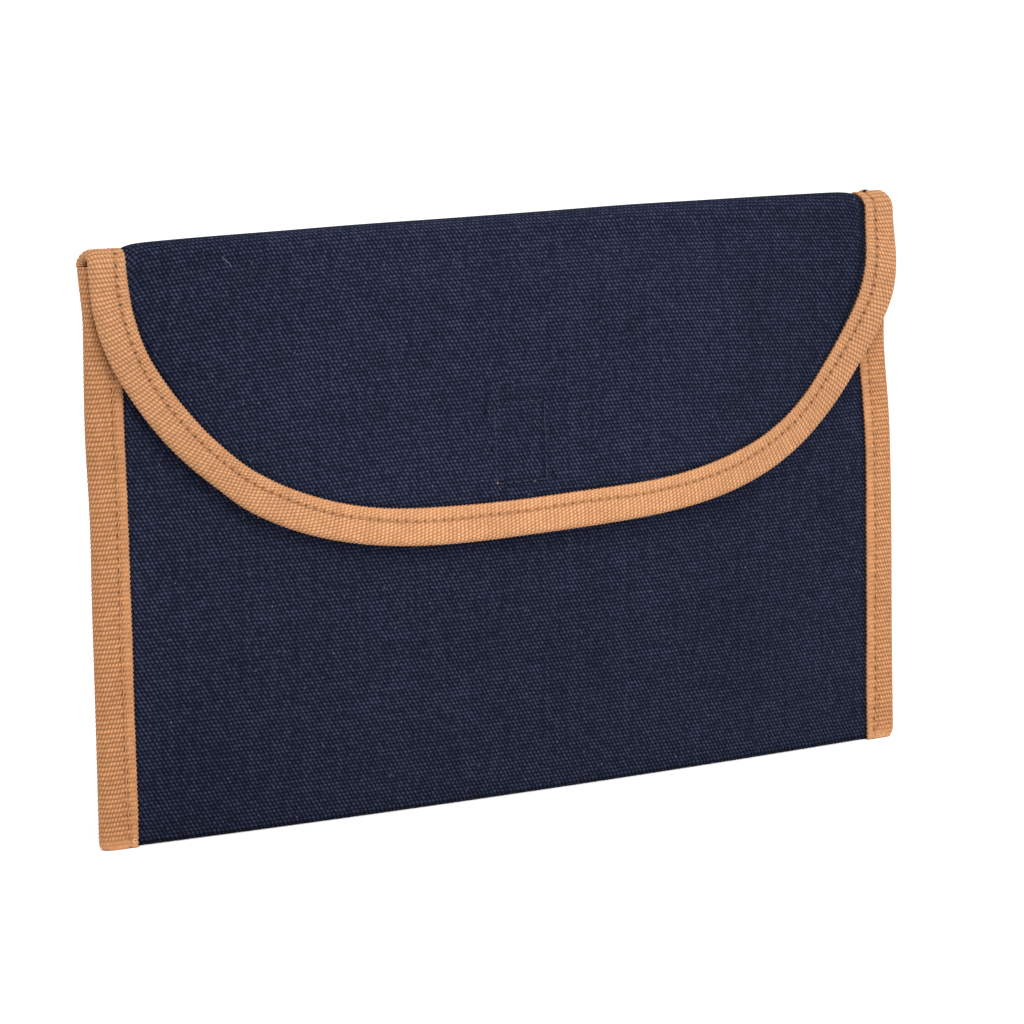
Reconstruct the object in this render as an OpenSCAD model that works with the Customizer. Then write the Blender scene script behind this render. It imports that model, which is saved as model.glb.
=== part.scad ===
// Canvas envelope case for artists' brushes: a flat pouch of heavy cotton canvas with a
// round flap, bound in cotton tape down both sides and round the flap. A hook patch under
// the flap meets a loop patch on the front, and a slotted panel inside holds the brushes.
// Millimetres. +Z is up, the front faces -Y, and the origin is at the middle of the base.

/* [Case] */
// Width over the two side tapes
case_w = 260; // [220:5:320]
// Height from the base to the top of the tape at the fold
case_h = 160; // [140:5:200]
// Distance from the top down to the mouth of the pouch
mouth_drop = 20; // [18:1:30]

/* [Fullness] */
// Half the depth of the base at mid width
base_bulge = 5; // [4.5:0.5:6]
// How much further the front stands out at mid height
front_bulge = 1.2; // [0:0.2:2]
// How much further the top fold stands out at mid width than at its ends
fold_bulge = 2.2; // [1.2:0.2:3]
// How much higher the top fold stands at mid width than under the tapes
fold_lift = 2.4; // [0:0.2:3]

/* [Cloth] */
// Thickness of the canvas
canvas = 0.8; // [0.6:0.1:0.8]
// Thickness of the binding tape
tape = 0.9; // [0.8:0.05:0.95]
// Width of tape on each face of the cloth
tape_w = 10; // [8:0.5:12]
// Distance of the seam from the tape's inner edge
seam_inset = 3.2; // [2:0.2:5]

/* [Flap] */
// Drop of the flap from the top of the case, at mid width
flap_drop = 86.5; // [70:0.5:100]
// How much lower the flap hangs towards its left end than at mid width
flap_tilt = 2.7; // [0:0.1:4]
// How square the flap's left corner is: 2 is an ellipse
flap_square_left = 2.95; // [2.4:0.05:4.2]
// How square the flap's right corner is
flap_square_right = 3.95; // [2.4:0.05:4.2]

/* [Closure] */
// Width of the hook and loop patches
patch_w = 18; // [15:1:30]
// Height of the hook and loop patches
patch_h = 24; // [15:1:30]
// Gap between the flap's tape and the patches above it
patch_gap = 3.8; // [1.3:0.5:6.3]
// How far the patches' middle is to the right of mid width
patch_x = -1.8; // [-10:0.2:10]

/* [Brush slots] */
// Number of slots side by side
slot_count = 10; // [6:1:12]
// Height of the slotted panel
slot_h = 96; // [70:1:110]
// Depth of the hems at the mouth and on the slotted panel
hem_h = 10; // [6:1:12]

/* [Hidden] */

navy = [0.13, 0.15, 0.26];
tan_tape = [0.78, 0.56, 0.38];
black = [0.08, 0.08, 0.1];

half_w = case_w / 2;
mouth_z = case_h - mouth_drop;
// Clearance between layers that lie on each other
touch = 0.06;
// Half the distance between the middles of the two cloth layers at the side edges
layer = 0.5;
// Half depth and height of the rolled top fold, at the side edges
fold_ry = 3;
fold_rz = 3;
// Height at which the back wall and the flap run into the fold, and where their walls stop
fold_z = case_h - tape - touch - canvas / 2 - fold_rz;
fold_run_in = 0.5;
// Gap at the fold's crest between the case's half and the flap's half
crest_gap = 0.4;
// Turn-up of the base into the walls
turn_r = 1.5;
// How far the cloth stops short of the bound edge, and the tape's spine inside that
cloth_inset = 1.5;
spine = 1.2;
cloth_edge = half_w - cloth_inset;
// How much further the flap's cloth stops short
flap_inset = 0.5;
// How far the hems and the slotted panel reach to each side
reach = half_w - tape_w - 1;
// Distances from a cloth layer's middle to the inner and outer face of the tape on it
leaf_in = canvas / 2 + touch;
leaf_out = leaf_in + tape;
// Thread: half its width, and how far it stands out
thread = 0.35;
thread_h = 0.2;
// Air between the flap's inner stitches and the ones on the side tapes below it
flap_air = 0.4;
// Distance from the front wall's middle to the flap's middle
standoff = 2 * (leaf_out + touch + thread_h) + flap_air;
seam_a = tape_w - seam_inset;
// The flap's outline is |x/half_w|^square + (drop/full_drop)^flap_round = 1
flap_round = 1.7;
// Thickness of each fastener patch and of the slotted panel
patch_t = 1;
slot_t = 0.6;
// Height of the slotted panel's lower edge
slot_foot = 4;
// Distance of the patches' stitches from their edge
stitch_inset = 1;
// Gap from a seam's ends to the base and to the fold
seam_gap = 1;
// Height of the short rows that lock the side seams, and how far in they are from the seam
backtack_h = 13;
backtack_inset = 1.2;
// Height of the patches' middle above the base
patch_z = case_h - flap_drop + tape_w + patch_gap + patch_h / 2;
panel_steps = 24;
height_steps = 8;
top_steps = 4;
flap_low_steps = 6;
arc_steps = 4;

// --- Shape of the cloth ---------------------------------------------------------------

function ease(t) = let (c = min(1, max(0, t))) c * c * (3 - 2 * c);
function mix(a, b, t) = a + (b - a) * t;
function along(a, b, steps) = [for (i = [0 : steps]) mix(a, b, i / steps)];
function backwards(list) = [for (i = [len(list) - 1 : -1 : 0]) list[i]];

// Stations that every layer is drawn on, so that layers lying on each other stay parallel.
// Those across the width are closer together near the edges.
width_knots = [for (i = [0 : panel_steps]) half_w * sin(-90 + 180 * i / panel_steps)];
height_knots = concat(
    along(0, mouth_z, height_steps),
    [for (i = [1 : top_steps]) mix(mouth_z, fold_z, i / top_steps)]
);
// The stations between a and b, with a and b themselves at the ends
function between(knots, a, b) =
    concat([a], [for (k = knots) if (k > a + 0.3 && k < b - 0.3) k], [b]);
function widths(a, b) = between(width_knots, a, b);
function heights(a, b) = between(height_knots, a, b);

lens_table = [for (x = width_knots) [x, 1 - pow(x / half_w, 2)]];
belly_table = [for (z = height_knots) [z, z < mouth_z ? sin(180 * z / mouth_z) : 0]];
lean_table = [for (z = height_knots) [z, ease((z - mouth_z) / (fold_z - mouth_z))]];
thin_table = [for (z = height_knots) [z, ease(2 * z / fold_z - 1)]];
// The cloth rises from under the tapes over lift_run, to end_lift of the lift at mid width
lift_run = 9;
end_lift = 0.62;
lift_table = [
    for (p = lens_table)
        [p[0], fold_lift * ease((half_w - tape_w - abs(p[0])) / lift_run) * mix(end_lift, 1, p[1])]
];
// 1 at mid width, 0 at the side edges
function lens(x) = lookup(x, lens_table);
// Half depth and height of the rolled fold at a given x
function fold_depth(x) = fold_ry + fold_bulge * lens(x);
function fold_height(x) = fold_rz + lookup(x, lift_table);
// y of the middle of each layer, at x and height z
function front_y(x, z) = -layer - (base_bulge + front_bulge * lookup(z, belly_table)) * lens(x);
function back_y(x, z) =
    mix(layer, fold_ry, lookup(z, lean_table))
    + mix(base_bulge, fold_bulge, lookup(z, thin_table)) * lens(x);
function flap_y(x, z) = mix(front_y(x, z) - standoff, -fold_depth(x), lookup(z, lean_table));
// Depth of the slotted panel, which lies against the back wall
function slot_y(x, z) = back_y(x, z) - canvas / 2 - touch - slot_t / 2;

// Drop of the flap's outline, inset from its edge by a given amount
function square_at(x) = x < 0 ? flap_square_left : flap_square_right;
function full_drop(x) = flap_drop - flap_tilt * x / half_w;
function drop_at(x, inset) =
    (full_drop(x) - inset)
    * pow(max(0, 1 - pow(abs(x) / (half_w - inset), square_at(x))), 1 / flap_round);

// --- Solids from rings ------------------------------------------------------------------

function total(v, i = 0) = i == len(v) - 1 ? v[i] : v[i] + total(v, i + 1);
function middle(ring) = total(ring) / len(ring);
function area_vector(ring) =
    total([for (i = [1 : len(ring) - 2]) cross(ring[i] - ring[0], ring[i + 1] - ring[0])]);

// Closed solid through a row of flat rings with the same number of points
module sweep(rings_given) {
    outward = area_vector(rings_given[0]) * (middle(rings_given[1]) - middle(rings_given[0])) > 0;
    rings = outward ? rings_given : [for (ring = rings_given) backwards(ring)];
    n = len(rings[0]);
    last = (len(rings) - 1) * n;
    sides = [
        for (k = [0 : len(rings) - 2], i = [0 : n - 1])
            let (a = k * n + i, b = k * n + (i + 1) % n)
                each [[a, a + n, b], [b, a + n, b + n]]
    ];
    caps = [[for (i = [0 : n - 1]) i], [for (i = [n - 1 : -1 : 0]) last + i]];
    polyhedron([for (ring = rings) each ring], concat(sides, caps));
}

// Band that lies on a cloth layer. Each station is [x, z, nx, nz], n pointing across the band.
// It reaches from a0 to a1 across, and from c0 to c1 off the layer's middle.
module band(stations, y_at, side, a0, a1, c0, c1) {
    function spot(s, a, c) =
        let (x = s[0] + a * s[2], z = s[1] + a * s[3]) [x, y_at(x, z) + side * c, z];
    sweep([for (s = stations) [spot(s, a0, c0), spot(s, a1, c0), spot(s, a1, c1), spot(s, a0, c1)]]);
}

function level(z, x0, x1) = [for (x = widths(x0, x1)) [x, z, 0, 1]];
function upright(x, z0, z1) = [for (z = heights(z0, z1)) [x, z, 1, 0]];

// Rectangle of thread, on a layer, round the middle of the patches
module thread_box(y_at, side, c0) {
    w = patch_w / 2 - stitch_inset;
    h = patch_h / 2 - stitch_inset;
    for (s = [-1, 1]) {
        band(upright(patch_x + s * w, patch_z - h - thread, patch_z + h + thread),
            y_at, side, -thread, thread, c0, c0 + thread_h);
        band(level(patch_z + s * h, patch_x - w + thread, patch_x + w - thread),
            y_at, side, -thread, thread, c0, c0 + thread_h);
    }
}

// --- Canvas -------------------------------------------------------------------------------

front = function (x, z) front_y(x, z);
back = function (x, z) back_y(x, z);
flap = function (x, z) flap_y(x, z);
slot = function (x, z) slot_y(x, z);

// Points from the fold's side at fold_z up to its crest, off the layer's middle by c
function fold_arc(x, side, c) = [
    for (a = along(0, 90, arc_steps)) [
        x,
        side * mix(crest_gap / 2, fold_depth(x) + c, cos(a)),
        fold_z + (fold_height(x) + c) * sin(a)
    ]
];

function wall(x, levels, y_at, c) = [for (z = levels) [x, y_at(x, z) + c, z]];

// Part of a layer between two widths and two heights, from c0 to c1 off its middle
module layer_sheet(x0, x1, z0, z1, y_at, c0, c1) {
    levels = heights(z0, z1);
    sweep([
        for (x = widths(x0, x1))
            concat(wall(x, levels, y_at, max(c0, c1)), backwards(wall(x, levels, y_at, min(c0, c1))))
    ]);
}

module back_panel() {
    t = canvas / 2;
    levels = heights(turn_r + t, fold_z - fold_run_in);
    color(navy)
        sweep([
            for (x = widths(-cloth_edge, cloth_edge)) concat(
                wall(x, levels, back, t),
                fold_arc(x, 1, t),
                backwards(fold_arc(x, 1, -t)),
                backwards(wall(x, levels, back, -t))
            )
        ]);
}

// Floor of the pouch, turned up at the front and the back to meet the walls
function floor_line(x, c) =
    let (
        t = canvas / 2,
        f = -front_y(x, 0),
        b = back_y(x, 0),
        rf = min(turn_r, f - touch),
        rb = min(turn_r, b - touch),
        turn = along(0, 90, arc_steps)
    ) concat(
        [for (a = turn) [x, rf - f - (rf + c) * cos(a), turn_r + t - (turn_r + c) * sin(a)]],
        [for (a = backwards(turn)) [x, b - rb + (rb + c) * cos(a), turn_r + t - (turn_r + c) * sin(a)]]
    );

module bottom_fold() {
    t = canvas / 2;
    color(navy)
        sweep([
            for (x = widths(-cloth_edge, cloth_edge))
                concat(floor_line(x, t), backwards(floor_line(x, -t)))
        ]);
}

module front_panel() {
    t = canvas / 2;
    color(navy)
        layer_sheet(-cloth_edge, cloth_edge, turn_r + t, mouth_z, front, -t, t);
}

module mouth_hem() {
    inside = canvas / 2 + touch;
    color(navy)
        layer_sheet(-reach, reach, mouth_z - hem_h, mouth_z, front, inside, inside + canvas);
}

module slot_panel() {
    color(navy)
        layer_sheet(-reach, reach, slot_foot, slot_h, slot, -slot_t / 2, slot_t / 2);
}

module slot_hem() {
    face = -slot_t / 2 - touch;
    color(navy)
        layer_sheet(-reach, reach, slot_h - hem_h, slot_h, slot, face, face - slot_t);
}

module flap_panel() {
    t = canvas / 2;
    top = fold_z - fold_run_in;
    edge = cloth_edge - flap_inset;
    // Rings of the same number of points, whose upper part keeps to the shared stations
    function levels(low) =
        let (middle_z = max(mouth_z, mix(low, top, flap_low_steps / (flap_low_steps + top_steps))))
            concat(
                along(low, middle_z, flap_low_steps),
                let (goal = middle_z > mouth_z ? top : fold_z)
                    [for (i = [1 : top_steps - 1]) mix(middle_z, goal, i / top_steps)],
                [top]
            );
    color(navy)
        sweep([
            for (x = widths(-edge, edge))
                let (z = levels(case_h - drop_at(x, cloth_inset))) concat(
                    wall(x, z, flap, t),
                    fold_arc(x, -1, -t),
                    backwards(fold_arc(x, -1, t)),
                    backwards(wall(x, z, flap, -t))
                )
        ]);
}

// --- Binding tape ------------------------------------------------------------------------

// Section of a tape folded over an edge: [distance in from the edge, share of the way out
// from its inner to its outer face, which face of the cloth it lies on]
fold_section = [
    [tape_w, 1, 1], [0.7, 1, 1], [0, 0.4, 1], [0, 0.4, -1], [0.7, 1, -1], [tape_w, 1, -1],
    [tape_w, 0, -1], [spine, 0, -1], [spine, 0, 1], [tape_w, 0, 1]
];

// The side tape wraps both layers below the mouth, and only the back layer above it
module side_binding(s) {
    // Where the tape's inner faces lie, at the front (face 1) and the back (face -1)
    function bed(x, z, face) =
        face < 0 ? back_y(x, z) + leaf_in
        : z <= mouth_z ? front_y(x, z) - leaf_in
        : mix(front_y(x, mouth_z) - leaf_in, fold_depth(x) - leaf_in, (z - mouth_z) / (fold_z - mouth_z));
    walls = [
        for (z = height_knots) [
            for (q = fold_section)
                let (x = s * (half_w - q[0])) [x, bed(x, z, q[2]) - q[2] * tape * q[1], z]
        ]
    ];
    arch = [
        for (a = along(0, 90, arc_steps)) if (a > 0) [
            for (q = fold_section)
                let (x = s * (half_w - q[0]), c = -q[2] * mix(leaf_in, leaf_out, q[1])) [
                    x,
                    mix(crest_gap / 2, fold_depth(x) + c, cos(a)),
                    fold_z + (fold_rz + c) * sin(a)
                ]
        ]
    ];
    color(tan_tape)
        sweep(concat(walls, arch));
}

module left_binding() {
    side_binding(-1);
}

module right_binding() {
    side_binding(1);
}

// Stations round the flap's edge, from the left end of the fold to the right end
flap_steps = 56;
function start_at(x) = asin(pow((case_h - fold_z) / full_drop(sign(x) * half_w), flap_round / 2));
// Angle round the outline for u from -1 to 1, slower at mid width, where the outline is flat
function swing(u) = 90 - sign(u) * (90 - start_at(u * half_w)) * pow(abs(u), 1.5);
flap_path = [
    for (u = along(-1, 1, flap_steps))
        let (
            t = swing(u),
            square = square_at(u),
            x = half_w * sign(cos(t)) * pow(abs(cos(t)), 2 / square),
            full = full_drop(x),
            drop = full * pow(sin(t), 2 / flap_round),
            gx = square * sign(x) * pow(abs(x) / half_w, square - 1) / half_w
                + flap_round * pow(drop / full, flap_round) * flap_tilt / half_w / full,
            gz = flap_round * pow(drop / full, flap_round - 1) / full,
            g = norm([gx, gz])
        ) [x, case_h - drop, -gx / g, gz / g]
];

module flap_binding() {
    // Offset from the cloth's middle, towards the front for face 1
    function off(q) = q[2] * mix(leaf_in, leaf_out, q[1]);
    edge = [
        for (s = flap_path) [
            for (q = fold_section)
                let (x = s[0] + q[0] * s[2], z = s[1] + q[0] * s[3])
                    [x, flap_y(x, z) - off(q), z]
        ]
    ];
    function arch(s, a) = [
        for (q = fold_section)
            let (x = s * (half_w - q[0])) [
                x,
                -mix(crest_gap / 2, fold_depth(x) + off(q), cos(a)),
                fold_z + (fold_rz + off(q)) * sin(a)
            ]
    ];
    angles = along(90 / arc_steps, 90, arc_steps - 1);
    color(tan_tape)
        sweep(concat(
            [for (a = backwards(angles)) arch(-1, a)],
            edge,
            [for (a = angles) arch(1, a)]
        ));
}

// --- Closure --------------------------------------------------------------------------------

module patch(y_at, side) {
    face = side * (canvas / 2 + touch);
    layer_sheet(patch_x - patch_w / 2, patch_x + patch_w / 2, patch_z - patch_h / 2, patch_z + patch_h / 2,
        y_at, face, face + side * patch_t);
}

module hook_patch() {
    color(black)
        patch(flap, 1);
}

module loop_patch() {
    color(black)
        patch(front, -1);
}

// --- Thread ---------------------------------------------------------------------------------

module side_seam(s) {
    x = s * (half_w - seam_a);
    color(tan_tape) {
        band(upright(x, seam_gap, mouth_z), front, -1,
            -thread, thread, leaf_out + touch, leaf_out + touch + thread_h);
        band(upright(x, seam_gap, fold_z - seam_gap), back, 1,
            -thread, thread, leaf_out + touch, leaf_out + touch + thread_h);
    }
}

module left_seam() {
    side_seam(-1);
}

module right_seam() {
    side_seam(1);
}

// Short second row of stitches that locks the seam's lower end
module backtack(s) {
    x = s * (half_w - seam_a + backtack_inset);
    color(tan_tape)
        band(upright(x, seam_gap, backtack_h), front, -1,
            -thread, thread, leaf_out + touch, leaf_out + touch + thread_h);
}

module left_backtack() {
    backtack(-1);
}

module right_backtack() {
    backtack(1);
}

module flap_seam() {
    path = [for (i = [1 : flap_steps - 1]) flap_path[i]];
    color(tan_tape)
        for (side = [-1, 1])
            band(path, flap, side,
                seam_a - thread, seam_a + thread, leaf_out + 2 * touch, leaf_out + 2 * touch + thread_h);
}

module hook_stitches() {
    color(navy)
        thread_box(flap, -1, canvas / 2 + touch);
}

module loop_stitches() {
    color(navy)
        thread_box(front, 1, canvas / 2 + touch);
}

module mouth_stitches() {
    color(navy)
        band(level(mouth_z - hem_h + 2, -reach, reach), front, -1,
            -thread, thread, canvas / 2 + touch, canvas / 2 + touch + thread_h);
}

module slot_stitches() {
    pitch = 2 * reach / slot_count;
    color(navy)
        for (i = [1 : slot_count - 1])
            band(upright(i * pitch - reach, 6, slot_h - hem_h - 1), slot, -1,
                -thread, thread, slot_t / 2 + touch, slot_t / 2 + touch + thread_h);
}

module slot_hem_stitches() {
    color(navy)
        band(level(slot_h - hem_h + 2, -reach, reach), slot, -1,
            -thread, thread, slot_t * 1.5 + 2 * touch, slot_t * 1.5 + 2 * touch + thread_h);
}

back_panel();
bottom_fold();
front_panel();
mouth_hem();
slot_panel();
slot_hem();
left_binding();
right_binding();
flap_panel();
flap_binding();
hook_patch();
loop_patch();
left_seam();
right_seam();
flap_seam();
left_backtack();
right_backtack();
hook_stitches();
loop_stitches();
mouth_stitches();
slot_stitches();
slot_hem_stitches();
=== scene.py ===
"""Brush case: detailed cloth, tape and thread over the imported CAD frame.

Shapes are worked out in millimetres in the frame's own axes and scaled to metres when a mesh
is made. The surfaces repeat the CAD's formulas, with the soft unevenness of sewn cloth added.
"""

import math

import bpy
import numpy as np
from mathutils import Matrix, Vector


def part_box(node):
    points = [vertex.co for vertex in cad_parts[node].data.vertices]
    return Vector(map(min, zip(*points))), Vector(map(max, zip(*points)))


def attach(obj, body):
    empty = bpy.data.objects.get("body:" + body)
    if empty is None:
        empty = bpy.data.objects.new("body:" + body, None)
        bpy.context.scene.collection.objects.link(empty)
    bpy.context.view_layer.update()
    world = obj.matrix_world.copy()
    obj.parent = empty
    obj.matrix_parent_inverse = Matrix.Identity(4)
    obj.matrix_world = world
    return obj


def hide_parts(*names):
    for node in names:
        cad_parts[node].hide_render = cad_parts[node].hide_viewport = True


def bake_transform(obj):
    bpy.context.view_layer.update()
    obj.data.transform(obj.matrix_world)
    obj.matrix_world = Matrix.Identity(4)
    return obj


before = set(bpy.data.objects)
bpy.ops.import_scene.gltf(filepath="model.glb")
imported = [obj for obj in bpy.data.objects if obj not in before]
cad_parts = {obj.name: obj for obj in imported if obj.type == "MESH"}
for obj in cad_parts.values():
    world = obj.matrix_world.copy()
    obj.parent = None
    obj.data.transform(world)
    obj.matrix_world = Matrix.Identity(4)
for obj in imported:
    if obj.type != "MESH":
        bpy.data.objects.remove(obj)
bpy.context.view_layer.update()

MM = 0.001

# --- Sizes in mm: first those that the frame's boxes show, then the CAD's own values ---------

HALF_W = -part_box("left_binding")[0][0] / MM
CASE_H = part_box("left_binding")[1][2] / MM
MOUTH_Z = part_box("front_panel")[1][2] / MM
SLOT_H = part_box("slot_panel")[1][2] / MM
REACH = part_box("slot_panel")[1][0] / MM
HEM_H = MOUTH_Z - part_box("mouth_hem")[0][2] / MM
PATCH_LEFT, PATCH_RIGHT = (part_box("hook_patch")[k][0] / MM for k in (0, 1))
PATCH_LOW, PATCH_HIGH = (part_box("hook_patch")[k][2] / MM for k in (0, 1))
PATCH_X, PATCH_HALF = (PATCH_LEFT + PATCH_RIGHT) / 2, (PATCH_RIGHT - PATCH_LEFT) / 2
PATCH_Z, PATCH_RISE = (PATCH_LOW + PATCH_HIGH) / 2, (PATCH_HIGH - PATCH_LOW) / 2

BASE_BULGE, FRONT_BULGE, FOLD_BULGE = 5.0, 1.2, 2.2  # how far the cloth stands out mid-width
FOLD_LIFT = 2.4  # the fold's crest above its tapes, mid-width
CANVAS, TAPE, TAPE_W = 0.8, 0.9, 10.0
TOUCH = 0.06  # gap between layers that lie together
LAYER = 0.5  # from the middle plane to the middle of each wall's cloth, at the sides
FOLD_RY, FOLD_RZ = 3.0, 3.0  # the top fold's radii at the sides
TURN_R = 1.5  # the bottom corners
SLOTS, SLOT_T = 10, 0.6  # the slotted panel and its cloth's thickness
FLAP_DROP, FLAP_TILT = 86.5, 2.7  # the flap's depth, and how much of it one side has over the middle
SQUARE_LEFT, SQUARE_RIGHT, FLAP_ROUND = 2.95, 3.95, 1.7  # powers of the flap's outline
FOLD_Z = CASE_H - TAPE - TOUCH - CANVAS / 2 - FOLD_RZ
LEAF_IN = CANVAS / 2 + TOUCH
LEAF_OUT = LEAF_IN + TAPE
STANDOFF = 2 * (LEAF_OUT + TOUCH + 0.2) + 0.4  # the flap's cloth in front of the wall's

# --- Sizes in mm that only the cloth and thread have ------------------------------------------

RIB = 1.26  # from rib to rib of the tape
WARP, WEFT = 1.24, 1.06  # the canvas weave's steps
HAND, PUCKER = 0.34, 0.10  # height of the cloth's soft waves and of its ripples at a seam
SEAM_Q = 6.8  # a tape's seam, from its turned edge
TAPE_BEND = 1.6  # the tape's turned edge, from its outermost line to where its faces are flat
BACK_LEAN = 2.2  # how far the side tape's front face stands off the back wall at the fold
BOX_INSET = 1.0  # the stitched rectangle, from the patch's edge
STITCH, BOX_STITCH, LOCK_STITCH = 3.0, 2.5, 2.8
SEAM_R, NAVY_R, BOX_R, LOCK_R = 0.22, 0.22, 0.20, 0.14
SUNK = 0.02  # a stitch's foot above the cloth
FOLD_BLEND = 1.6  # half the depth across the fold's crest, for points that nothing uses

# --- Shape of the cloth -----------------------------------------------------------------------


def ease(t):
    c = np.clip(t, 0, 1)
    return c * c * (3 - 2 * c)


def mix(a, b, t):
    return a + (b - a) * t


def bell(x, width):
    return np.exp(-((x / width) ** 2))


def lens(x):
    return 1 - (x / HALF_W) ** 2


def fold_depth(x):
    return FOLD_RY + FOLD_BULGE * lens(x)


def waves(x, z, seed):
    """Soft, uneven hand of heavy canvas, between about -1 and 1."""
    s = seed * 1.7
    return (
        0.40 * np.sin(x / 31 + z / 47 + s)
        + 0.30 * np.sin(x / 17 - z / 29 + 2.3 * s)
        + 0.18 * np.sin(x / 11.3 + z / 13.7 + 0.7 * s)
        + 0.12 * np.sin(x / 7.1 - z / 9.7 + 3.1 * s)
    )


def inward(x):
    """0 at the side edges and 1 well inside them, where the cloth is free to move."""
    return ease((HALF_W - np.abs(x)) / 40)


def pucker(x, z, seed):
    """Short ripples that the side seams draw into the cloth beside them."""
    q = HALF_W - np.abs(x)
    near = ease((q - 7) / 4) * np.exp(-np.clip(q - 10, 0, None) / 7)
    return near * (np.sin(z / 1.45 + seed + 0.8 * np.sin(z / 9)) * 0.6 + 0.4 * np.sin(z / 3.9 + seed))


def front_plain(x, z):
    low = np.minimum(z, MOUTH_Z)
    return -LAYER - (BASE_BULGE + FRONT_BULGE * np.sin(np.pi * low / MOUTH_Z)) * lens(x)


def front_y(x, z):
    """Middle of the front wall's cloth."""
    free = inward(x) * ease(z / 22)
    return front_plain(x, z) - HAND * free * waves(x, z, 1.0) - PUCKER * pucker(x, z, 0.0) * ease(z / 8)


def back_y(x, z):
    """Middle of the back wall's cloth."""
    flat = mix(LAYER, FOLD_RY, ease((z - MOUTH_Z) / (FOLD_Z - MOUTH_Z)))
    flat = flat + mix(BASE_BULGE, FOLD_BULGE, ease(2 * z / FOLD_Z - 1)) * lens(x)
    free = inward(x) * ease(z / 22) * ease((FOLD_Z - z) / 22)
    return flat + HAND * free * waves(x, z, 5.0) + PUCKER * pucker(x, z, 1.5) * ease(z / 8)


def flap_plain(x, z):
    return mix(-fold_depth(x), front_plain(x, z) - STANDOFF, ease((FOLD_Z - z) / (FOLD_Z - MOUTH_Z)))


def square_at(x):
    """How square the flap's outline is on each side."""
    return np.where(np.asarray(x) < 0, SQUARE_LEFT, SQUARE_RIGHT)


def full_drop(x):
    """The drop is a little more on the left, because the flap is sewn out of true."""
    return FLAP_DROP - FLAP_TILT * x / HALF_W


def outline_drop(x, inset):
    """How far the flap's edge hangs below the top, with the edge drawn in by the inset."""
    share = np.clip(np.abs(x) / (HALF_W - inset), 0, 1)
    return (full_drop(x) - inset) * np.clip(1 - share ** square_at(x), 0, 1) ** (1 / FLAP_ROUND)


def outline_slope(x, drop):
    """Gradient of the flap's outline, across and downwards."""
    square, share, deep = square_at(x), np.abs(x) / HALF_W, drop / full_drop(x)
    gx = square * np.sign(x) * share ** (square - 1) / HALF_W
    gx = gx + FLAP_ROUND * deep**FLAP_ROUND * FLAP_TILT / HALF_W / full_drop(x)
    return gx, FLAP_ROUND * deep ** (FLAP_ROUND - 1) / full_drop(x)


def edge_distance(x, z):
    """About how far inside the flap's outline a point is."""
    drop = np.clip(CASE_H - z, 1, None)
    inside = 1 - (np.abs(x) / HALF_W) ** square_at(x) - (drop / full_drop(x)) ** FLAP_ROUND
    return inside / np.hypot(*outline_slope(x, drop))


def flare(x, z):
    """1 where the flap's right edge springs away from the case below the fold."""
    return ease((x - 97) / 29) * bell(z - 131, 16)


def flap_x(x, z):
    """Where the flap's edges stand, drawn in at the left end of the fold and sprung out below."""
    left = ease((-x - 70) / 45) * (1.4 * ease((z - 142) / 14) - 1.0 * bell(z - 132, 12))
    corner = 1.2 * ease((-x - 84) / 14) * bell(z - 93, 13)
    return x + left + corner + 2.1 * flare(x, z)


def box_line(x, z):
    """Distance from the stitched rectangle that holds the patch."""
    dx = np.abs(x - PATCH_X) - (PATCH_HALF - BOX_INSET)
    dz = np.abs(z - PATCH_Z) - (PATCH_RISE - BOX_INSET)
    outside = np.hypot(np.clip(dx, 0, None), np.clip(dz, 0, None))
    return np.abs(outside + np.minimum(np.maximum(dx, dz), 0))


def flap_y(x, z):
    """Middle of the flap's cloth."""
    edge = edge_distance(x, z)
    near = ease((edge - 7) / 4) * np.exp(-np.clip(edge - 10, 0, None) / 8)
    ripple = np.sin(x / 1.5 + 0.9 * np.sin(x / 8)) * 0.6 + 0.4 * np.sin(x / 4.3 + z / 6)
    free = inward(x) * ease((FOLD_Z - z) / 20) * ease(edge / 25)
    y = flap_plain(x, z) - 0.30 * free * waves(x, z, 9.0) - 0.09 * near * ripple - 2.0 * flare(x, z)
    return y + 0.16 * bell(box_line(x, z), 1.1) * ease((FOLD_Z - z) / 20)


def slot_y(x, z):
    """Middle of the slotted panel, which stands off in a shallow tube at each slot."""
    pitch = 2 * REACH / SLOTS
    tube = np.abs(np.sin(np.pi * (x + REACH) / pitch)) ** 0.8
    rise = ease((z - 4) / 14) * ease((SLOT_H - HEM_H - z) / 8)
    return back_y(x, z) - CANVAS / 2 - TOUCH - SLOT_T / 2 - 0.05 - 0.8 * tube * rise


def bow(x, z):
    """The seams pull the sides of the case in unevenly."""
    left = 0.6 * np.sin(np.pi * np.clip(z / FOLD_Z, 0, 1)) + 0.4 * bell(z - 88, 16)
    left = left + 1.3 * ease((z - 105) / 50)
    right = 0.7 * ease((45 - z) / 45) + 0.4 * bell(z - 36, 20) + 1.7 * bell(z - 118, 18)
    return x + left * ease((-x - 50) / 65) - right * ease((x - 50) / 65)


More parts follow.
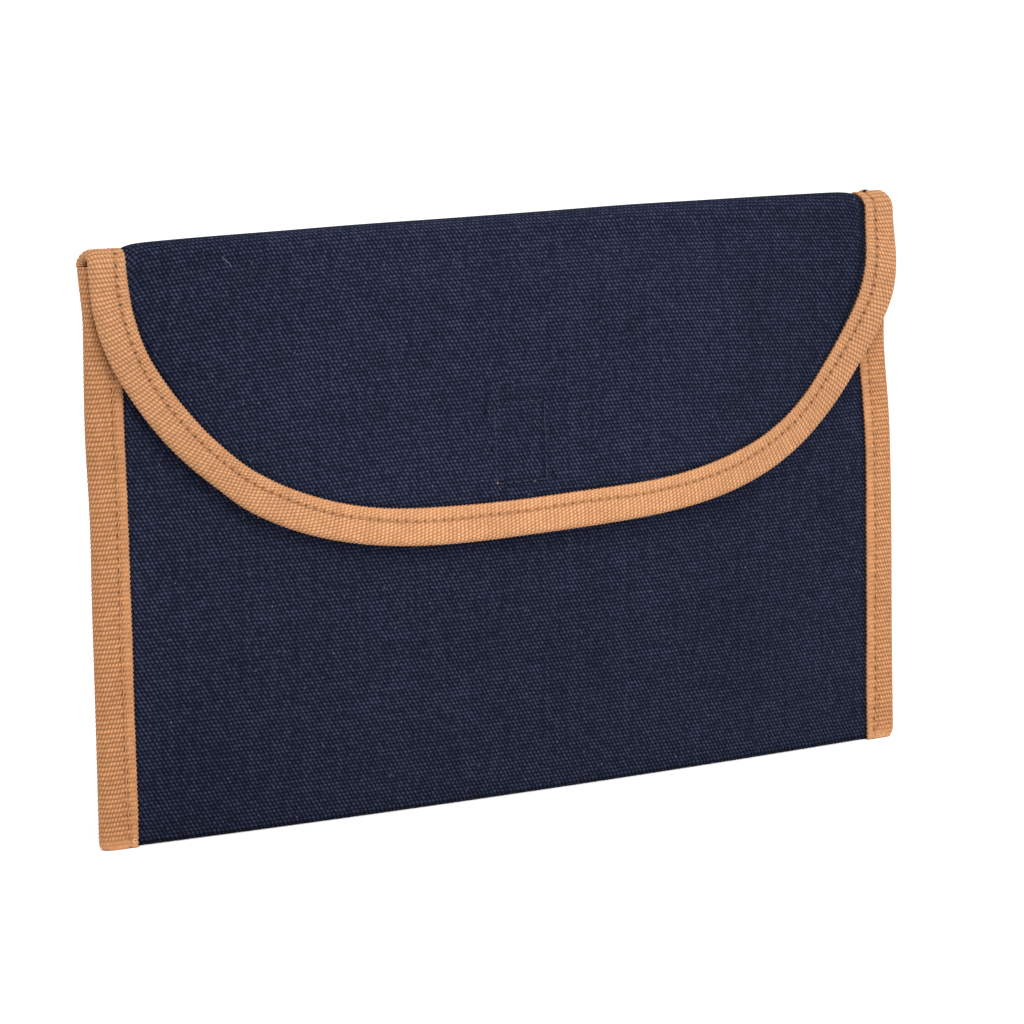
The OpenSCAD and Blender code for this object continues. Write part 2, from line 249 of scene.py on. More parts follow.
def flap_stations():
    """The flap's edge from the fold at the left end to the fold at the right end: distance
    along, x, z and the normal that points into the flap."""
    start = [((CASE_H - FOLD_Z) / full_drop(x)) ** (FLAP_ROUND / 2) for x in (-HALF_W, HALF_W)]
    left, right = (math.asin(k) for k in start)
    u = np.linspace(-1, 1, 6001)
    t = np.pi / 2 - np.sign(u) * (np.pi / 2 - np.where(u < 0, left, right)) * np.abs(u) ** 1.5
    x = HALF_W * np.sign(np.cos(t)) * np.abs(np.cos(t)) ** (2 / square_at(u))
    drop = full_drop(x) * np.sin(t) ** (2 / FLAP_ROUND)
    gx, gz = outline_slope(x, drop)
    run = np.concatenate([[0], np.cumsum(np.hypot(np.diff(x), np.diff(drop)))])
    level = ease(np.minimum(run, run[-1] - run) / 16)
    gz = gz * level
    g = np.hypot(gx, gz)
    return run, x, CASE_H - drop, -gx / g, gz / g


RUN, EDGE_X, EDGE_Z, NORMAL_X, NORMAL_Z = flap_stations()
ARC_RUN = math.pi * 3.9  # round the fold at each end, at the tape's middle
FLAP_RUN = RUN[-1] + 2 * ARC_RUN

# --- Meshes -----------------------------------------------------------------------------------


def arc_length(points):
    """Distance along each row of points, (rows, columns, 3)."""
    step = np.linalg.norm(np.diff(points, axis=1), axis=2)
    return np.concatenate([np.zeros((len(points), 1)), np.cumsum(step, axis=1)], axis=1)


def make(name, verts, faces, uv, material, **values):
    """A mesh object from vertices in mm, with a uv and more numbers by name for each vertex."""
    mesh = bpy.data.meshes.new(name)
    mesh.from_pydata((np.asarray(verts) * MM).tolist(), [], [list(map(int, f)) for f in faces])
    layer = mesh.uv_layers.new(name="Cloth")
    loops = np.zeros(len(mesh.loops), np.int32)
    mesh.loops.foreach_get("vertex_index", loops)
    layer.data.foreach_set("uv", np.asarray(uv, np.float32)[loops].ravel())
    for key, value in values.items():
        attribute = mesh.attributes.new(key, "FLOAT", "POINT")
        attribute.data.foreach_set("value", np.asarray(value, np.float32).ravel())
    mesh.shade_smooth()
    mesh.update()
    thing = bpy.data.objects.new(name, mesh)
    bpy.context.collection.objects.link(thing)
    thing.data.materials.append(material)
    return thing


def grid_faces(n, m, base, flip):
    i, j = np.meshgrid(np.arange(n - 1), np.arange(m - 1), indexing="ij")
    a = base + i * m + j
    quads = np.stack([a, a + m, a + m + 1, a + 1], -1).reshape(-1, 4)
    return quads[:, ::-1] if flip else quads


def slab(name, outer, inner, uv, material, **values):
    """Closed thin sheet between two grids of points, (rows, columns, 3)."""
    n, m = outer.shape[:2]
    size = n * m
    i, j = n // 2, m // 2
    across = np.cross(outer[i, j + 1] - outer[i, j], outer[i + 1, j] - outer[i, j])
    flip = np.dot(across, outer[i, j] - inner[i, j]) > 0
    ring = np.concatenate([
        np.arange(m), np.arange(1, n) * m + m - 1,
        (n - 1) * m + np.arange(m - 2, -1, -1), np.arange(n - 2, 0, -1) * m,
    ])
    after = np.roll(ring, -1)
    rim = np.stack([ring, after, after + size, ring + size], -1)
    faces = np.concatenate([
        grid_faces(n, m, 0, flip), grid_faces(n, m, size, not flip), rim[:, ::-1] if flip else rim,
    ])
    both = {k: np.concatenate([v.ravel(), v.ravel()]) for k, v in values.items()}
    flat_uv = uv.reshape(-1, 2)
    verts = np.concatenate([outer.reshape(-1, 3), inner.reshape(-1, 3)])
    return make(name, verts, faces, np.concatenate([flat_uv, flat_uv]), material, **both)


def tubes(name, paths, radius, material, sides=7, taper=0.45):
    """One mesh of many short threads. Each path is (points, up), both (k, 3)."""
    verts, faces, uv, start = [], [], [], 0
    turn = np.linspace(0, 2 * np.pi, sides, endpoint=False)
    for index, (points, up) in enumerate(paths):
        k = len(points)
        tangent = np.gradient(points, axis=0)
        tangent /= np.linalg.norm(tangent, axis=1, keepdims=True)
        side = np.cross(tangent, up)
        side /= np.linalg.norm(side, axis=1, keepdims=True)
        top = np.cross(side, tangent)
        t = np.linspace(-1, 1, k)
        r = radius * (1 - (1 - taper) * np.abs(t) ** 3)
        ring = points[:, None] + r[:, None, None] * (
            np.cos(turn)[None, :, None] * side[:, None] + np.sin(turn)[None, :, None] * top[:, None]
        )
        verts.append(ring.reshape(-1, 3))
        i, j = np.meshgrid(np.arange(k - 1), np.arange(sides), indexing="ij")
        a, b = start + i * sides + j, start + i * sides + (j + 1) % sides
        faces += np.stack([a, b, b + sides, a + sides], -1).reshape(-1, 4).tolist()
        faces.append(list(range(start + sides - 1, start - 1, -1)))
        faces.append(list(range(start + (k - 1) * sides, start + k * sides)))
        length = arc_length(points[None])[0] + index * 3.7
        uv.append(np.stack([np.tile(np.arange(sides) / sides, k), np.repeat(length, sides)], -1))
        start += k * sides
    return make(name, np.concatenate(verts), faces, np.concatenate(uv), material)


# --- Materials ----------------------------------------------------------------------------------


class Graph:
    """Short names for the nodes of one material. u and v are mm across and along on cloth and
    tape, and turns round and mm along on thread."""

    def __init__(self, name, roughness, sheen, sheen_roughness, specular):
        self.material = bpy.data.materials.new(name)
        self.material.use_nodes = True
        self.tree = self.material.node_tree
        self.shader = self.tree.nodes["Principled BSDF"]
        self.shader.inputs["Roughness"].default_value = roughness
        self.shader.inputs["Sheen Weight"].default_value = sheen
        self.shader.inputs["Sheen Roughness"].default_value = sheen_roughness
        self.shader.inputs["Specular IOR Level"].default_value = specular
        uv = self.add("ShaderNodeUVMap")
        uv.uv_map = "Cloth"
        split = self.add("ShaderNodeSeparateXYZ")
        self.link(uv.outputs[0], split.inputs[0])
        self.u, self.v, self.uv = split.outputs[0], split.outputs[1], uv.outputs[0]

    def add(self, kind, **settings):
        node = self.tree.nodes.new(kind)
        for key, value in settings.items():
            setattr(node, key, value)
        return node

    def link(self, a, b):
        self.tree.links.new(a, b)

    def feed(self, socket, value):
        if isinstance(value, (int, float, tuple)):
            socket.default_value = value
        else:
            self.link(value, socket)

    def math(self, operation, a, b=0.0, c=0.0, clamp=False):
        node = self.add("ShaderNodeMath", operation=operation, use_clamp=clamp)
        for socket, value in zip(node.inputs, (a, b, c)):
            self.feed(socket, value)
        return node.outputs[0]

    def pair(self, a, b):
        node = self.add("ShaderNodeCombineXYZ")
        self.feed(node.inputs[0], a)
        self.feed(node.inputs[1], b)
        return node.outputs[0]

    def noise(self, vector, scale, detail=2.0, rough=0.5):
        node = self.add("ShaderNodeTexNoise")
        self.feed(node.inputs["Vector"], vector)
        node.inputs["Scale"].default_value = scale
        node.inputs["Detail"].default_value = detail
        node.inputs["Roughness"].default_value = rough
        return node.outputs[0]

    def chance(self, vector):
        node = self.add("ShaderNodeTexWhiteNoise", noise_dimensions="2D")
        self.feed(node.inputs["Vector"], vector)
        return node.outputs[0]

    def ramp(self, value, low, high, to_low=0.0, to_high=1.0):
        node = self.add("ShaderNodeMapRange")
        for socket, number in zip(node.inputs, (value, low, high, to_low, to_high)):
            self.feed(socket, number)
        return node.outputs[0]

    def colours(self, value, *stops):
        node = self.add("ShaderNodeValToRGB")
        band = node.color_ramp
        while len(band.elements) < len(stops):
            band.elements.new(0.5)
        for element, (place, colour) in zip(band.elements, stops):
            element.position = place
            element.color = (*colour, 1)
        self.feed(node.inputs[0], value)
        return node.outputs[0]

    def blend(self, share, a, b, kind="MIX"):
        node = self.add("ShaderNodeMix", data_type="RGBA", blend_type=kind)
        for index, value in ((0, share), (6, a), (7, b)):
            self.feed(node.inputs[index], value if not isinstance(value, tuple) else (*value, 1))
        return node.outputs[2]

    def grey(self, value):
        node = self.add("ShaderNodeCombineColor")
        for socket in node.inputs[:3]:
            self.feed(socket, value)
        return node.outputs[0]

    def attribute(self, name):
        node = self.add("ShaderNodeAttribute", attribute_name=name)
        return node.outputs["Fac"]

    def finish(self, colour, height, depth):
        """depth is the relief in mm."""
        bump = self.add("ShaderNodeBump")
        bump.inputs["Distance"].default_value = depth * MM
        bump.inputs["Strength"].default_value = 1.0
        self.feed(bump.inputs["Height"], height)
        self.link(bump.outputs[0], self.shader.inputs["Normal"])
        self.feed(self.shader.inputs["Base Color"], colour)
        return self.material


def nubs(g, pitch_u, pitch_v, slant, wobble, ragged=0.0, across=3.9, along=3.8):
    """Plain weave: rows of rounded thread ends, each row half a step along from the last. The
    ends lean by slant and are the narrower the larger across and along are.
    Gives the height, 0 between the ends and 1 on them, which end and row, and which thread
    of those that run along v."""
    drift = g.math("MULTIPLY_ADD", g.noise(g.uv, 0.22, 2.0), wobble * 6, -wobble * 3)
    v = g.math("ADD", g.math("DIVIDE", g.v, pitch_v), drift)
    row = g.math("FLOOR", v)
    fv = g.math("SUBTRACT", g.math("SUBTRACT", v, row), 0.5)
    u = g.math("ADD", g.math("DIVIDE", g.u, pitch_u), drift)
    thread = g.math("FLOOR", g.math("MULTIPLY", u, 2.0))
    u = g.math("MULTIPLY_ADD", fv, slant, g.math("MULTIPLY_ADD", row, 0.5, u))
    column = g.math("FLOOR", u)
    fu = g.math("SUBTRACT", g.math("SUBTRACT", u, column), 0.5)
    fu = g.math("ADD", fu, g.ramp(g.noise(g.uv, 1.7, 2.0), 0.3, 0.7, -ragged, ragged))
    fv = g.math("ADD", fv, g.ramp(g.noise(g.uv, 2.1, 2.0), 0.3, 0.7, -ragged, ragged))
    off_u = g.math("MULTIPLY", g.math("MULTIPLY", fu, fu), across)
    round_off = g.math("MULTIPLY_ADD", g.math("MULTIPLY", fv, fv), along, off_u)
    return g.math("SUBTRACT", 1.0, round_off, clamp=True), column, row, thread


def mix_colour(a, b, t):
    return tuple(p + (q - p) * t for p, q in zip(a, b))


def varied_by(g, tone, factor, low, high):
    """The tone times a number that runs from low to high as the factor runs from 0 to 1."""
    return g.math("MULTIPLY", tone, g.ramp(factor, 0.0, 1.0, low, high))


def clouded_by(g, tone, noise, low, high):
    """The tone times a number that follows a noise, which stays mostly within 0.3 to 0.7."""
    return g.math("MULTIPLY", tone, g.ramp(noise, 0.3, 0.7, low, high))


def shaded(g, colour):
    """The colour darkened by the shade painted on the mesh."""
    return g.blend(1.0, colour, g.grey(g.math("SUBTRACT", 1.0, g.attribute("shade"))), "MULTIPLY")


def canvas_material(dark, light):
    g = Graph("canvas", roughness=0.95, sheen=0.01, sheen_roughness=0.5, specular=0.0)
    height, column, row, thread = nubs(g, WARP, WEFT, -0.32, 0.10, 0.12, 4.3, 3.2)
    cell = g.chance(g.pair(column, row))
    warp = g.chance(g.pair(thread, 3.0))
    weft = g.chance(g.pair(7.0, row))
    slub = g.noise(g.pair(g.math("MULTIPLY", thread, 0.6), g.math("MULTIPLY", g.v, 0.11)), 1.0, 2.0)
    fuzz = g.noise(g.uv, 7.5, 3.0, 0.7)
    tone = varied_by(g, height, cell, 0.66, 1.24)
    tone = varied_by(g, tone, warp, 0.88, 1.10)
    tone = varied_by(g, tone, weft, 0.93, 1.06)
    tone = clouded_by(g, tone, slub, 0.86, 1.12)
    tone = clouded_by(g, tone, fuzz, 0.78, 1.22)
    tone = clouded_by(g, tone, g.noise(g.uv, 0.035, 3.0), 0.90, 1.10)
    colour = g.colours(tone, (0.0, dark), (0.45, mix_colour(dark, light, 0.36)), (1.0, light))
    colour = shaded(g, colour)
    lint_spot = g.add("ShaderNodeTexVoronoi", voronoi_dimensions="2D")
    lint_spot.inputs["Scale"].default_value = 0.06
    g.link(g.uv, lint_spot.inputs["Vector"])
    lint = g.math("LESS_THAN", lint_spot.outputs["Distance"], 0.011)
    colour = g.blend(g.math("MULTIPLY", lint, 0.45), colour, (0.20, 0.21, 0.25))
    relief = g.math("MULTIPLY_ADD", fuzz, 0.22, height)
    return g.finish(colour, relief, 0.22)


def tape_material(name, groove, nub):
    g = Graph(name, roughness=0.88, sheen=0.03, sheen_roughness=0.45, specular=0.08)
    bumps, column, row, _ = nubs(g, 0.96, RIB, 0.40, 0.05, 0.07, 3.6, 3.9)
    rib = g.math("ABSOLUTE", g.math("SINE", g.math("MULTIPLY", g.math("DIVIDE", g.v, RIB), math.pi)))
    press = g.attribute("press")
    flat = g.math("MULTIPLY_ADD", rib, 0.30, 0.34)
    loose = g.math("MULTIPLY", bumps, g.math("SUBTRACT", 1.0, press))
    height = g.math("ADD", loose, g.math("MULTIPLY", flat, press))
    cell = g.chance(g.pair(column, row))
    pick = g.chance(g.pair(5.0, row))
    fibre = g.noise(g.pair(g.math("MULTIPLY", g.u, 4.0), g.math("MULTIPLY", g.v, 1.1)), 2.2, 3.0, 0.65)
    tone = g.math("MULTIPLY_ADD", height, 0.80, 0.16)
    tone = varied_by(g, tone, cell, 0.80, 1.14)
    tone = varied_by(g, tone, pick, 0.90, 1.08)
    tone = clouded_by(g, tone, fibre, 0.84, 1.14)
    tone = clouded_by(g, tone, g.noise(g.uv, 0.05, 3.0), 0.92, 1.08)
    # Lighter by a painted highlight on the tape's edges and by real wear at its cut ends.
    tone = g.math("ADD", tone, g.math("MULTIPLY", g.attribute("worn"), 0.24))
    colour = g.colours(tone, (0.0, groove), (0.5, mix_colour(groove, nub, 0.60)), (1.0, nub))
    colour = shaded(g, colour)
    relief = g.math("MULTIPLY_ADD", fibre, 0.22, height)
    return g.finish(colour, relief, 0.20)


def thread_material(name, dark, light):
    g = Graph(name, roughness=0.8, sheen=0.02, sheen_roughness=0.4, specular=0.08)
    twist = g.math("SINE", g.math("MULTIPLY", g.math("MULTIPLY_ADD", g.v, 1.5, g.u), 2 * math.pi * 2))
    ply = g.ramp(twist, -1.0, 1.0, 0.0, 1.0)
    fibre = g.noise(g.pair(g.math("MULTIPLY", g.u, 9.0), g.v), 3.0, 3.0)
    tone = g.math("MULTIPLY_ADD", fibre, 0.45, g.math("MULTIPLY", ply, 0.6))
    colour = g.colours(tone, (0.1, dark), (0.85, light))
    return g.finish(colour, ply, 0.05)


def fastener_material(name, dark, light, rough):
    g = Graph(name, roughness=rough, sheen=0.08, sheen_roughness=0.4, specular=0.12)
    tuft = g.noise(g.uv, 1.6, 4.0, 0.7)
    over = nubs(g, 0.9, 0.6, 0.0, 0.05)[0]
    tone = g.math("MULTIPLY_ADD", over, 0.35, g.math("MULTIPLY", tuft, 0.75))
    colour = g.colours(tone, (0.2, dark), (0.9, light))
    return g.finish(colour, g.math("MULTIPLY_ADD", tuft, 0.8, over), 0.3)


CANVAS_MAT = canvas_material((0.0044, 0.0050, 0.0106), (0.0325, 0.0375, 0.0725))
TAPE_MAT = tape_material("tape", (0.235, 0.097, 0.038), (0.655, 0.330, 0.161))
SIDE_TAPE_MAT = tape_material("side_tape", (0.165, 0.064, 0.023), (0.54, 0.256, 0.115))
SIDE_THREAD = thread_material("side_thread", (0.19, 0.075, 0.028), (0.56, 0.265, 0.118))
FRAY_THREAD = thread_material("fray_thread", (0.55, 0.34, 0.18), (0.86, 0.62, 0.40))
LINT_THREAD = thread_material("lint_thread", (0.12, 0.13, 0.17), (0.26, 0.27, 0.33))
TAN_THREAD = thread_material("tan_thread", (0.30, 0.125, 0.048), (0.86, 0.44, 0.20))
NAVY_THREAD = thread_material("navy_thread", (0.005, 0.006, 0.013), (0.043, 0.049, 0.086))
DARK_FLECK = thread_material("dark_fleck", (0.0015, 0.0015, 0.002), (0.004, 0.004, 0.006))
HOOK_MAT = fastener_material("hook_tape", (0.004, 0.004, 0.007), (0.026, 0.027, 0.038), 0.55)
LOOP_MAT = fastener_material("loop_tape", (0.005, 0.005, 0.009), (0.036, 0.038, 0.054), 0.95)

# --- Canvas ---------------------------------------------------------------------------------------


def around_floor(x, c):
    """The turned-up floor at one x, from the front wall to the back wall, c off its middle."""
    t = CANVAS / 2
    f, b = -front_y(x, 0.0), back_y(x, 0.0)
    rf, rb = min(TURN_R, f - 0.05), min(TURN_R, b - 0.05)
    a = np.linspace(0, np.pi / 2, 7)
    corner = TURN_R + t - (TURN_R + c) * np.sin(a)
    level = np.linspace(rf - f, b - rb, 7)[1:-1]
    front, back = rf - f - (rf + c) * np.cos(a), b - rb + (rb + c) * np.cos(a[::-1])
    y = np.concatenate([front, level, back])
    z = np.concatenate([corner, np.full(len(level), t - c), corner[::-1]])
    return y, z


def pouch_canvas():
    """Front, turned floor and back in one piece of cloth, up to where the fold begins."""
    edge = HALF_W - 1.7
    xs = np.concatenate([[-edge], np.linspace(-edge + 1.2, edge - 1.2, 150), [edge]])
    t = CANVAS / 2
    down = np.linspace(MOUTH_Z, TURN_R + t, 74)[:-1]
    up = np.linspace(TURN_R + t, FOLD_Z, 82)[1:]
    sides = []
    for c in (t, -t):
        rows = []
        for x in xs:
            fy, fz = around_floor(x, c)
            y = np.concatenate([front_y(x, down) - c, fy, back_y(x, up) + c])
            z = np.concatenate([down, fz, up])
            rows.append(np.stack([bow(np.full_like(z, x), z), y, z], -1))
        sides.append(np.array(rows))
    outer, inner = sides
    run = arc_length((outer + inner) / 2)
    uv = np.stack([np.repeat(xs[:, None], run.shape[1], 1), run], -1)
    y, z = outer[..., 1], outer[..., 2]
    q = HALF_W - np.abs(outer[..., 0])
    # Painted shade: where the cloth turns under at the floor, a painted shadow beside the tapes' edges,
    # and darker over the whole pouch, more so low on the left.
    turned = bell(z - 0.2, 1.3) * 0.35
    tape_edge_shadow = 0.45 * bell(q - TAPE_W - 0.1, 0.7)
    painted_shade = 0.08 + 0.19 * ease((-outer[..., 0] - 40) / 90) * ease((70 - z) / 70)
    shade = np.clip(turned + tape_edge_shadow + painted_shade, 0, 0.8)
    thing = slab("pouch_canvas", outer, inner, uv, CANVAS_MAT, shade=shade)
    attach(thing, "case")
    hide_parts("front_panel", "bottom_fold", "back_panel")


def fold_lift(x):
    """How much higher the cloth's fold stands than the tapes'."""
    beside = 1 - np.exp(-np.clip(HALF_W - TAPE_W - 0.3 - np.abs(x), 0, None) / 2.2)
    return (FOLD_LIFT * mix(0.62, 1, lens(x)) + 0.1 - 0.35 * x / HALF_W) * beside


def fold_point(x, a, c, lift=0.0):
    """Point of the rolled top fold. a runs from 0 at the back to pi at the front."""
    return (fold_depth(x) + c) * np.cos(a), FOLD_Z + (FOLD_RZ + lift + c) * np.sin(a)


def bend_with_fold(thing):
    """Bakes the piece's transform into its mesh. Points on either side of the fold's crest are worked out
    but not used.
    """
    start, end = (0, FOLD_BLEND * MM, FOLD_Z * MM), (0, -FOLD_BLEND * MM, FOLD_Z * MM)
    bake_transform(thing)
    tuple(start)
    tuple(end)


def flap_canvas():
    """Cloth of the top fold and the flap, from the back seam line to the flap's edge."""
    edge = HALF_W - 2.0
    xs = edge * np.sin(np.linspace(-np.pi / 2, np.pi / 2, 170))
    t = CANVAS / 2
    angles = np.linspace(0, np.pi, 22)
    fall = np.linspace(0, 1, 62)[1:]
    sides = []
    for c in (t, -t):
        rows = []
        for x in xs:
            low = CASE_H - outline_drop(x, 1.5)
            fy, fz = fold_point(x, angles, c, fold_lift(x))
            z = mix(FOLD_Z, low, fall)
            wave = 0.18 * inward(x) * waves(x, angles * 9, 3.0) * np.sin(angles)
            y = np.concatenate([fy, flap_y(x, z) - c])
            z = np.concatenate([fz + wave - 0.05, z])
            rows.append(np.stack([np.where(y < 0, flap_x(x, z), bow(x, z)), y, z], -1))
        sides.append(np.array(rows))
    outer, inner = sides
    run = arc_length((outer + inner) / 2)
    uv = np.stack([np.repeat(xs[:, None], run.shape[1], 1), run], -1)
    x, z = outer[..., 0], outer[..., 2]
    gap = np.min([np.hypot(x - ex, z - ez) for ex, ez in zip(EDGE_X[::20], EDGE_Z[::20])], axis=0)
    # Painted shade: a shadow beside the flap's tape, a dark line in the stitched rectangle's groove, and
    # darker towards the flap's sides.
    beside = 0.40 * bell(gap - TAPE_W - 0.2, 0.8) * (z < FOLD_Z + 2)
    line = 0.30 * bell(box_line(x, z), 0.45) * (z < FOLD_Z - 20)
    painted_side_shade = 0.16 * ease((np.abs(x) - 50) / 70)
    shade = np.clip(beside + line + painted_side_shade, 0, 0.8)
    thing = slab("flap_canvas", outer, inner, uv, CANVAS_MAT, shade=shade)
    bend_with_fold(thing)
    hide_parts("flap_panel")


def inner_band(name, node, y_at, z0, z1, side, c0, c1, step=2.0):
    """A sewn band of cloth on the inside, from c0 to c1 off the wall on one side of it."""
    xs = np.linspace(-REACH, REACH, int(2 * REACH / step) + 1)
    zs = np.linspace(z0, z1, max(6, int((z1 - z0) / 1.6)))
    x, z = np.meshgrid(xs, zs, indexing="ij")
    near, far = (np.stack([bow(x, z), y_at(x, z) + side * c, z], -1) for c in (c0, c1))
    uv = np.stack([x, z], -1)
    shade = 0.25 * bell(z - z0, 0.8) + 0.15 * bell(z - z1, 0.8)
    thing = slab(name, far, near, uv, CANVAS_MAT, shade=shade)
    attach(thing, "case")
    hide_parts(node)


pouch_canvas()
flap_canvas()
inner_band("mouth_hem_cloth", "mouth_hem", front_y, MOUTH_Z - HEM_H, MOUTH_Z, 1, LEAF_IN, LEAF_IN + CANVAS)
inner_band("slotted_panel", "slot_panel", slot_y, 4.0, SLOT_H, 1, -SLOT_T / 2, SLOT_T / 2, step=1.2)
inner_band(
    "slotted_panel_hem", "slot_hem", slot_y, SLOT_H - HEM_H, SLOT_H, -1,
    SLOT_T / 2 + TOUCH, SLOT_T * 1.5 + TOUCH, step=1.2,
)

# --- Binding tape -----------------------------------------------------------------------------------


def relief(v, q, cut=0.0):
    """Height of the tape's ribs, which a cut end flattens, and of the groove under its seam."""
    rib = 0.5 - 0.5 * np.cos(2 * np.pi * v / RIB)
    soft = ease((q - 0.2) / 1.4) * mix(1.0, 0.55, ease((q - SEAM_Q) / 1.2))
    crown = 0.16 * np.sin(np.pi * np.clip((q - 0.8) / (SEAM_Q - 0.8), 0, 1))
    return 0.11 * rib * soft * (1 - cut) + crown - 0.07 * bell(q - SEAM_Q - seam_wander(v), 0.6)


def seam_wander(v):
    """How far the seam strays inwards along the tape. It veers where it starts."""
    return 0.16 * np.sin(v / 14.0) + 0.09 * np.sin(v / 5.3 + 1) + 0.9 * ease((16 - v) / 16)


def tape_piece(name, vs, surface, material, pressed, painted_shade, ends=(False, False)):
    """Tape folded over an edge. surface(v, q, face, c) is the point q in from the edge and c
    above the cloth, on face 1 (outer) or -1 (inner); v is the distance along the tape."""
    faces_q = np.concatenate([[TAPE_W, TAPE_W - 0.12, TAPE_W - 0.4], np.linspace(TAPE_W - 0.9, 2.0, 15)])
    phi = np.linspace(np.pi / 2, -np.pi / 2, 11)
    v = vs[:, None]
    press = np.zeros_like(v)
    for end, place in zip(ends, (vs[0], vs[-1])):
        if end:
            press = np.maximum(press, 1 - ease(np.abs(v - place) / 4.5))

    def leaf(face, q, inner):
        scallop = 0.20 * np.cos(2 * np.pi * v / RIB) * ease((q - 8.8) / 1.0)
        slow = (0.16 * np.sin(v / 23 + face) + 0.10 * np.sin(v / 7.7)) * ease((q - 4) / 5)
        rounding = 0.30 * ease((q - 9.5) / 0.5)
        c = 0.0 if inner else TAPE - rounding + relief(v, q, press)
        return surface(v, q + scallop + slow, face, c)

    def turned(inner):
        t = TAPE if inner else 0.0
        rise = 0.0 if inner else 1.9 * relief(v, np.full((1, len(phi)), 1.4), press)
        q = t + (TAPE_BEND - t) * (1 - np.cos(phi))[None] - rise * np.cos(phi)[None]
        c = 0.0 if inner else TAPE + rise * np.abs(np.sin(phi))[None]
        top, low = surface(v, q, 1, c), surface(v, q, -1, c)
        return (top + low) / 2 + (top - low) / 2 * np.sin(phi)[None, :, None]

    outer, inner = (
        np.concatenate([leaf(1, faces_q[None], k), turned(k), leaf(-1, faces_q[::-1][None], k)], axis=1)
        for k in (False, True)
    )
    q_all = np.concatenate([faces_q, TAPE_BEND * (1 - np.cos(phi)), faces_q[::-1]])[None]
    across = arc_length(outer[len(vs) // 2][None])
    uv = np.stack(np.broadcast_arrays(across, v), -1)
    # Painted shade: dark slits at the seam's stitch holes, a dark line along the tape's inner edge, and a
    # darkening that grows towards the case's sides by the given amount.
    along = v % STITCH
    hole = bell(np.minimum(along, STITCH - along), 0.48)
    slit = 0.86 * bell(q_all - SEAM_Q - seam_wander(v), 0.42) * hole
    edge = 0.28 * bell(q_all - TAPE_W, 0.10)
    flat = ease((q_all - SEAM_Q - 0.4) / 0.8) * pressed
    # A painted highlight along the tape's inner edge and its turned outer edge, and real wear at the cut
    # ends.
    worn = 0.40 * bell(q_all - TAPE_W + 0.25, 0.22) + 0.40 * bell(q_all, 0.55) + 0.4 * press
    shape = outer.shape[:2]
    outward_shade = painted_shade * ease((np.abs(outer[..., 0]) - 35) / 75)
    thing = slab(
        name, outer, inner, uv, material,
        shade=np.broadcast_to(np.clip(slit + edge + outward_shade, 0, 0.88), shape),
        press=np.broadcast_to(np.clip(flat + press, 0, 1), shape),
        worn=np.broadcast_to(np.clip(worn, 0, 1), shape),
    )
    return thing


def on_tape(surface, v, q, face, c):
    """Points on a tape and the way up from it at each."""
    points, above = (surface(v[:, None], q[:, None], face, k[:, None])[:, 0] for k in (c, c + 1))
    return points, above - points


def seam(vs, surface, face, q=SEAM_Q, pitch=STITCH, lean=0.16):
    """A row of stitches on a tape."""
    paths = []
    for k, start in enumerate(vs):
        v = start + np.linspace(0.25, pitch - 0.25, 7)
        t = np.linspace(-1, 1, 7)
        jitter = 0.05 * math.sin(k * 2.4)
        qs = q + seam_wander(v) + lean * t + jitter
        lift = TAPE + relief(v, qs) - 0.05 + 0.24 * (1 - np.abs(t) ** 2.5) - 0.25 * np.abs(t) ** 6
        paths.append(on_tape(surface, v, qs, face, lift))
    return paths


def side_surface(s):
    """The side tape. v is the height up the case. The corner of the cut end is rounded off."""
    radius = 1.6 if s < 0 else 2.4

    def surface(v, q, face, c):
        v, q, c = np.broadcast_arrays(v * 1.0, q * 1.0, np.asarray(c) * 1.0)
        low = np.clip(1 - v / radius, 0, 1)
        x = s * (HALF_W - q - radius * (1 - np.sqrt(1 - low**2)) * ease((6 - q) / 6))
        mouth = front_y(x, np.full_like(v, MOUTH_Z)) - LEAF_IN
        lean = np.clip((v - MOUTH_Z) / (FOLD_Z - MOUTH_Z), 0, 1)
        above = mix(mouth, fold_depth(x) - LEAF_IN - BACK_LEAN, lean)
        front = np.where(v <= MOUTH_Z, front_y(x, v) - LEAF_IN, above)
        y = front - c if face > 0 else back_y(x, v) + LEAF_IN + c
        return np.stack([bow(x, v), y, v], -1)

    return surface


def flap_surface(v, q, face, c):
    """The flap's tape. v is the distance along it, from the back of the fold at the left."""
    v, q, c = np.broadcast_arrays(v * 1.0, q * 1.0, np.asarray(c) * 1.0)
    off = (LEAF_IN + c) * face
    d = np.clip(v - ARC_RUN, 0, RUN[-1])
    ex, ez, nx, nz = (np.interp(d, RUN, k) for k in (EDGE_X, EDGE_Z, NORMAL_X, NORMAL_Z))
    x, z = ex + q * nx, ez + q * nz
    x = x + 1.1 * bell(z - 124, 22) * ease((x - 98) / 12) * ease((8 - q) / 7)
    wall = np.stack([flap_x(x, z), flap_y(x, z) - off, z], -1)
    left, right = v < ARC_RUN, v > ARC_RUN + RUN[-1]
    a = np.where(left, v / ARC_RUN, (FLAP_RUN - v) / ARC_RUN) * np.pi
    tuck = 0.9 * np.sin(np.clip(a, 0, np.pi)) ** 2
    front, back = flap_x(x, z), bow(np.where(left, q - HALF_W, HALF_W - q), np.full_like(x, FOLD_Z))
    ax = mix(back, front, ease(a / np.pi)) - np.where(left, -1, 1) * tuck
    fy, fz = fold_point(ax, a, off)
    proud = 0.12 * np.sin(np.clip(a, 0, np.pi)) * ease((q - 6) / 4)
    arch = np.stack([ax, fy, np.minimum(fz + proud * (off > 0), CASE_H + 0.25)], -1)
    return np.where((left | right)[..., None], arch, wall)


def tape_rows(length):
    """Stations along a tape, four to a rib."""
    return np.linspace(0, length, int(round(length / RIB * 4)) + 1)


